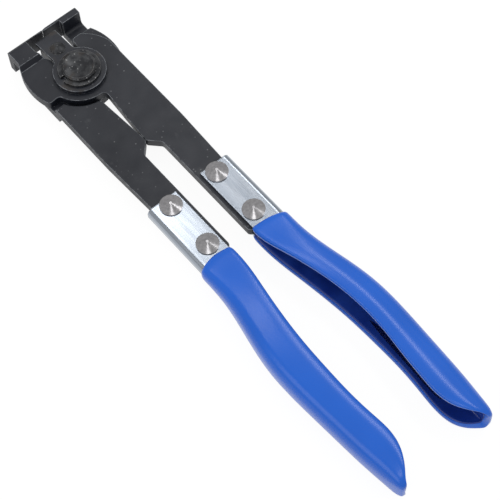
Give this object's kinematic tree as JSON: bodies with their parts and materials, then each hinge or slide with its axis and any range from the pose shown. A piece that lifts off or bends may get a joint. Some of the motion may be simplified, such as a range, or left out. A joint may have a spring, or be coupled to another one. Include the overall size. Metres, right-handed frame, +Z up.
{
  "type": "ear clamp pliers",
  "caption": "Long hand pliers with bent plate jaws that pinch the ear of a hose or boot clamp, a floating stop between the jaws, and dipped channel handles.",
  "frame": {"origin": "centre of the pivot pin's flat underside, on the pivot axis, at the level that the pliers lie on", "axes": "+Y from the pivot towards the jaws, +Z up along the pivot axis, +X to the side of the upper lever's handle"},
  "size_m": [0.0568, 0.2574, 0.0168],
  "materials": {
    "black_steel": "black oxide, satin",
    "pin_steel": "black oxide, worn",
    "zinc_sheet": "zinc plated, satin",
    "nickel_rivet": "bright nickel",
    "grip_vinyl": "dipped, glossy"
  },
  "bodies": {
    "lower_side": {"lower_lever": "black_steel", "pivot_pin": "pin_steel", "retaining_ring": "pin_steel", "left_channel": "zinc_sheet", "left_grip": "grip_vinyl", "left_front_rivet": "nickel_rivet", "left_rear_rivet": "nickel_rivet"},
    "upper_side": {"upper_lever": "black_steel", "right_channel": "zinc_sheet", "right_grip": "grip_vinyl", "right_front_rivet": "nickel_rivet", "right_rear_rivet": "nickel_rivet"},
    "stop": {"stop_plate": "black_steel", "stop_block": "black_steel", "stop_rivet": "pin_steel"}
  },
  "joints": [
    {"name": "lever_open", "type": "hinge", "parent": "lower_side", "child": "upper_side", "pos_m": [0, 0, 0], "axis": [0, 0, 1], "range_deg": [0, 10]},
    {"name": "stop_swing", "type": "hinge", "parent": "lower_side", "child": "stop", "pos_m": [0, 0, 0], "axis": [0, 0, 1], "range_deg": [0, 5]}
  ],
  "couplings": [
    {"joint": "stop_swing", "follows": "lever_open", "ratio": 0.5}
  ]
}
